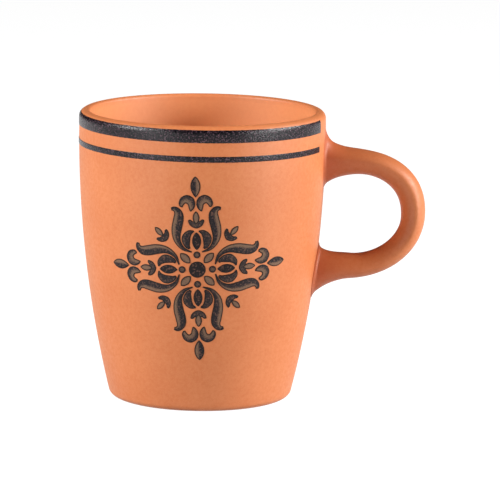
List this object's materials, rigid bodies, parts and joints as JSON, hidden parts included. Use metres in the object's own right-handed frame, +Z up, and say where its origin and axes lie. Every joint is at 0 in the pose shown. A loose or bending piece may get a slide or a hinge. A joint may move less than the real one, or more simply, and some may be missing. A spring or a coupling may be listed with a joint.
{
  "type": "espresso cup",
  "caption": "Tall espresso cup in satin terracotta glaze with a looped handle, dark rim stripes and a fourfold tulip ornament on the front, for holding a short hot drink.",
  "frame": {"origin": "on the cup's axis, on the plane that the foot ring stands on", "axes": "+Z up along the cup's axis, +X towards the handle, -Y towards the ornament"},
  "size_m": [0.0846, 0.0602, 0.0705],
  "materials": {
    "glaze": "satin",
    "clay_slip": "matte",
    "stripe_print": "satin",
    "ornament_print": "satin"
  },
  "bodies": {
    "root": {"cup_body": "glaze", "handle": "glaze", "upper_slip_joint": "clay_slip", "lower_slip_joint": "clay_slip", "wide_rim_band": "stripe_print", "narrow_rim_band": "stripe_print", "ornament_disc": "ornament_print", "ornament_dots": "ornament_print", "ornament_petals": "ornament_print", "tulip_outer_petals": "ornament_print", "tulip_inner_petals": "ornament_print", "tulip_hearts": "ornament_print", "tulip_buds": "ornament_print", "ornament_scrolls": "ornament_print", "ornament_tips": "ornament_print", "corner_buds": "ornament_print"}
  },
  "joints": []
}
